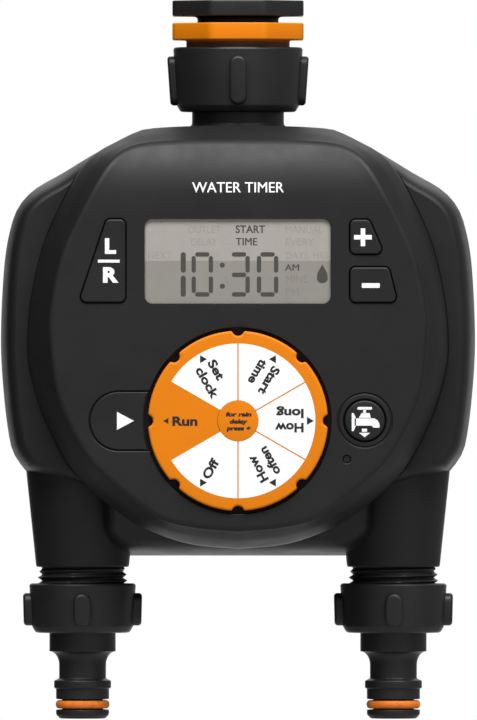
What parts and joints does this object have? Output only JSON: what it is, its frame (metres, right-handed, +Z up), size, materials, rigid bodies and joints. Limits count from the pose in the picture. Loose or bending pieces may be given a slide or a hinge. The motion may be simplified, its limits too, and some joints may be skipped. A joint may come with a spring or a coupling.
{
  "type": "drip irrigation timer",
  "caption": "Tap-mounted drip irrigation timer with a display, a turning mode dial, push buttons and outlets with threaded click connectors for drip lines.",
  "frame": {"origin": "middle of the plane through the two outlet tips, below the inlet axis", "axes": "+Z up along the inlet axis towards the tap, -Y out of the face, +X to the right seen from the front"},
  "size_m": [0.1406, 0.085, 0.2124],
  "materials": {
    "case_black": "fine moulded texture, low sheen",
    "button_black": "smooth satin moulding with white print",
    "fitting_black": "satin moulding",
    "orange_plastic": "satin orange moulding",
    "orange_ring": "smooth orange silicone",
    "dial_print": "white print with orange and black lettering",
    "window_clear": "clear polished window",
    "lcd_glass": "grey display with dark segments",
    "light_lens": "dark tinted lens",
    "seal_rubber": "matt black rubber",
    "inner_grey": "glass-filled moulding",
    "board_green": "green solder mask",
    "coil_copper": "enamelled copper winding",
    "steel": "plain stainless steel",
    "cell_wrap": "plain printed cell sleeve",
    "wire_jacket": "plain wire jacket"
  },
  "bodies": {
    "case": {"battery_left": "cell_wrap", "battery_right": "cell_wrap", "battery_tray": "inner_grey", "case_screw_1": "steel", "case_screw_2": "steel", "case_screw_3": "steel", "case_screw_4": "steel", "circuit_board": "board_green", "cover_gasket": "seal_rubber", "door_hinge_pin": "steel", "front_cover": "case_black", "keypad_membrane": "seal_rubber", "lcd_module": "lcd_glass", "lcd_window": "window_clear", "left_diaphragm": "seal_rubber", "left_plunger_spring": "steel", "left_solenoid_coil": "coil_copper", "left_valve_bonnet": "inner_grey", "left_valve_lead": "wire_jacket", "lower_contact": "steel", "manual_switch": "inner_grey", "pointer_tab": "case_black", "rear_housing": "case_black", "right_diaphragm": "seal_rubber", "right_plunger_spring": "steel", "right_solenoid_coil": "coil_copper", "right_valve_bonnet": "inner_grey", "right_valve_lead": "wire_jacket", "rotary_switch": "inner_grey", "status_light": "light_lens", "swivel_ring": "steel", "upper_contact": "steel", "water_manifold": "inner_grey"},
    "dial": {"mode_dial": "orange_plastic", "dial_label": "dial_print", "dial_hub_cap": "orange_plastic", "dial_spindle": "steel"},
    "left_right_button": {"left_right_button": "button_black"},
    "plus_button": {"plus_button": "button_black"},
    "minus_button": {"minus_button": "button_black"},
    "manual_button": {"manual_button": "button_black"},
    "battery_door": {"battery_door": "case_black", "door_seal": "seal_rubber"},
    "left_plunger": {"left_plunger": "steel"},
    "right_plunger": {"right_plunger": "steel"},
    "swivel_nut": {"inlet_swivel_nut": "fitting_black"},
    "strainer": {"inlet_strainer": "inner_grey"},
    "large_adapter": {"large_adapter": "orange_plastic"},
    "adapter_washer": {"adapter_washer": "seal_rubber"},
    "small_adapter": {"small_adapter": "fitting_black", "tap_washer": "seal_rubber"},
    "left_washer": {"left_connector_washer": "seal_rubber"},
    "left_connector": {"left_connector": "fitting_black", "left_nose_o_ring": "orange_ring"},
    "right_washer": {"right_connector_washer": "seal_rubber"},
    "right_connector": {"right_connector": "fitting_black", "right_nose_o_ring": "orange_ring"}
  },
  "joints": [
    {"name": "dial_turn", "type": "hinge", "parent": "case", "child": "dial", "pos_m": [0, -0.04, 0.0882], "axis": [0, -1, 0], "continuous": true},
    {"name": "left_right_button_press", "type": "slide", "parent": "case", "child": "left_right_button", "axis": [0, 1, 0], "range_m": [0, 0.0008], "stiffness_N_per_m": 1500, "springref_m": -0.0004},
    {"name": "plus_button_press", "type": "slide", "parent": "case", "child": "plus_button", "axis": [0, 1, 0], "range_m": [0, 0.0008], "stiffness_N_per_m": 1500, "springref_m": -0.0004},
    {"name": "minus_button_press", "type": "slide", "parent": "case", "child": "minus_button", "axis": [0, 1, 0], "range_m": [0, 0.0008], "stiffness_N_per_m": 1500, "springref_m": -0.0004},
    {"name": "manual_button_press", "type": "slide", "parent": "case", "child": "manual_button", "axis": [0, 1, 0], "range_m": [0, 0.0008], "stiffness_N_per_m": 1500, "springref_m": -0.0004},
    {"name": "battery_door_swing", "type": "hinge", "parent": "case", "child": "battery_door", "pos_m": [0, 0.0408, 0.0772], "axis": [-1, 0, 0], "range_deg": [0, 95]},
    {"name": "left_plunger_lift", "type": "slide", "parent": "case", "child": "left_plunger", "axis": [0, 1, 0], "range_m": [0, 0.0025], "stiffness_N_per_m": 400, "springref_m": -0.001, "deforming": ["left_plunger_spring"]},
    {"name": "right_plunger_lift", "type": "slide", "parent": "case", "child": "right_plunger", "axis": [0, 1, 0], "range_m": [0, 0.0025], "stiffness_N_per_m": 400, "springref_m": -0.001, "deforming": ["right_plunger_spring"]},
    {"name": "swivel_nut_turn", "type": "hinge", "parent": "case", "child": "swivel_nut", "pos_m": [0, 0, 0.19], "axis": [0, 0, 1], "continuous": true},
    {"name": "large_adapter_travel", "type": "slide", "parent": "swivel_nut", "child": "strainer", "axis": [0, 0, 1], "range_m": [0, 0.00924]},
    {"name": "large_adapter_unscrew", "type": "hinge", "parent": "strainer", "child": "large_adapter", "pos_m": [0, 0, 0.2], "axis": [0, 0, 1], "range_deg": [0, 1440.05]},
    {"name": "small_adapter_travel", "type": "slide", "parent": "large_adapter", "child": "adapter_washer", "axis": [0, 0, 1], "range_m": [0, 0.00907]},
    {"name": "small_adapter_unscrew", "type": "hinge", "parent": "adapter_washer", "child": "small_adapter", "pos_m": [0, 0, 0.205], "axis": [0, 0, 1], "range_deg": [0, 1800.05]},
    {"name": "left_connector_travel", "type": "slide", "parent": "case", "child": "left_washer", "axis": [0, 0, -1], "range_m": [0, 0.00907]},
    {"name": "left_connector_unscrew", "type": "hinge", "parent": "left_washer", "child": "left_connector", "pos_m": [-0.046, 0, 0.035], "axis": [0, 0, -1], "range_deg": [0, 1800.05]},
    {"name": "right_connector_travel", "type": "slide", "parent": "case", "child": "right_washer", "axis": [0, 0, -1], "range_m": [0, 0.00907]},
    {"name": "right_connector_unscrew", "type": "hinge", "parent": "right_washer", "child": "right_connector", "pos_m": [0.046, 0, 0.035], "axis": [0, 0, -1], "range_deg": [0, 1800.05]}
  ],
  "couplings": [
    {"joint": "large_adapter_unscrew", "follows": "large_adapter_travel", "rad_per_m": 2721.2},
    {"joint": "small_adapter_unscrew", "follows": "small_adapter_travel", "rad_per_m": 3463.7},
    {"joint": "left_connector_unscrew", "follows": "left_connector_travel", "rad_per_m": 3463.7},
    {"joint": "right_connector_unscrew", "follows": "right_connector_travel", "rad_per_m": 3463.7}
  ]
}
